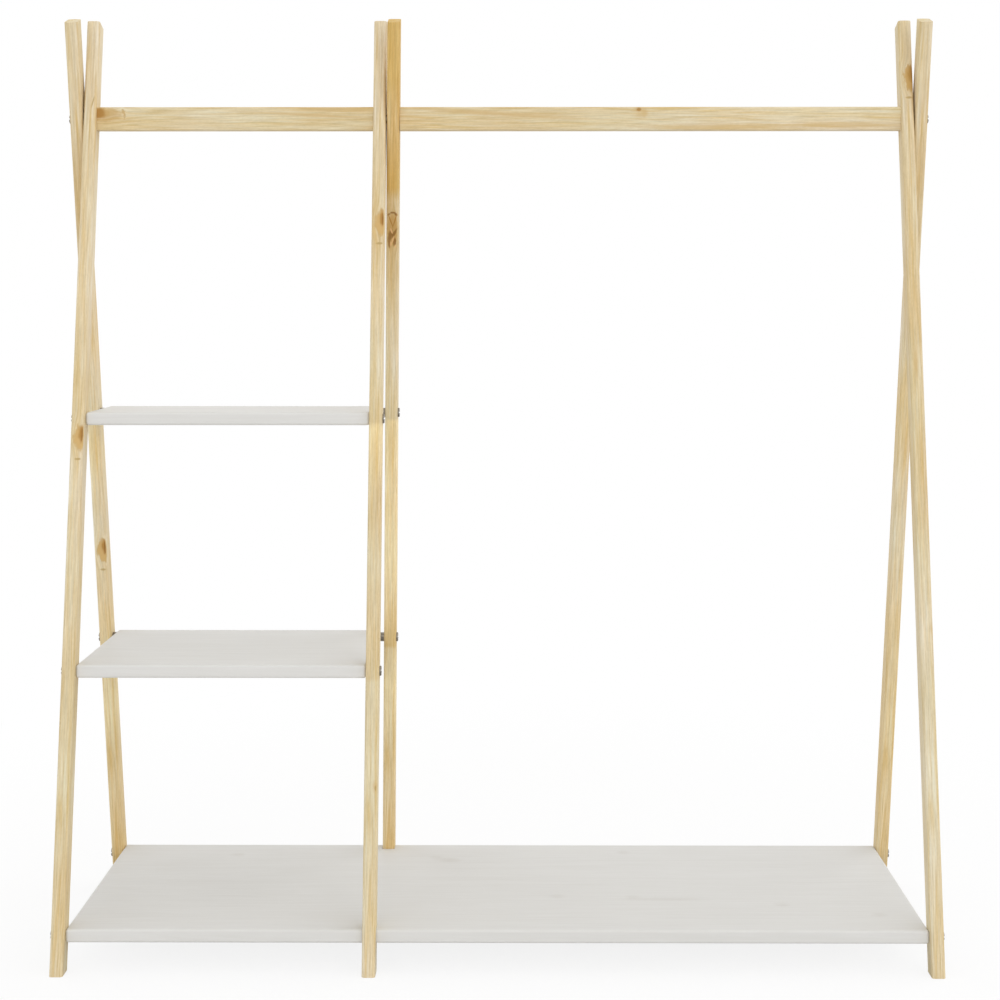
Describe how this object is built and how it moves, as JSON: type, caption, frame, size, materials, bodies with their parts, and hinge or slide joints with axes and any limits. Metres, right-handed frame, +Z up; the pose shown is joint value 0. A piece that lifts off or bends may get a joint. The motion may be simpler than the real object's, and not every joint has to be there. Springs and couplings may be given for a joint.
{
  "type": "clothes rack",
  "caption": "Free-standing child's clothes rack: crossed pine legs carry a flat hanging rail, white shelves in the left bay and a long white board along the bottom.",
  "frame": {"origin": "on the floor, midway between the end pairs of legs and midway between front and rear feet", "axes": "+Z up, +X to the right seen from the front, -Y to the front"},
  "size_m": [1.2306, 0.4026, 1.298],
  "materials": {
    "pine": "clear satin lacquer",
    "white_lacquer": "white satin lacquer on pine",
    "zinc_steel": "zinc plated",
    "beech": "bare"
  },
  "bodies": {
    "root": {"left_front_leg": "pine", "left_rear_leg": "pine", "middle_front_leg": "pine", "middle_rear_leg": "pine", "right_front_leg": "pine", "right_rear_leg": "pine", "left_rail": "pine", "right_rail": "pine", "upper_shelf": "white_lacquer", "lower_shelf": "white_lacquer", "bottom_board": "white_lacquer", "upper_shelf_bolts": "zinc_steel", "upper_shelf_nuts": "zinc_steel", "upper_shelf_sleeves": "zinc_steel", "lower_shelf_bolts": "zinc_steel", "lower_shelf_nuts": "zinc_steel", "lower_shelf_sleeves": "zinc_steel", "bottom_board_bolts": "zinc_steel", "bottom_board_nuts": "zinc_steel", "left_crossing_bolt": "zinc_steel", "right_crossing_bolt": "zinc_steel", "middle_stud": "zinc_steel", "crossing_washers": "zinc_steel", "rail_nuts": "zinc_steel", "rail_dowels": "beech", "bottom_board_dowels": "beech"}
  },
  "joints": []
}
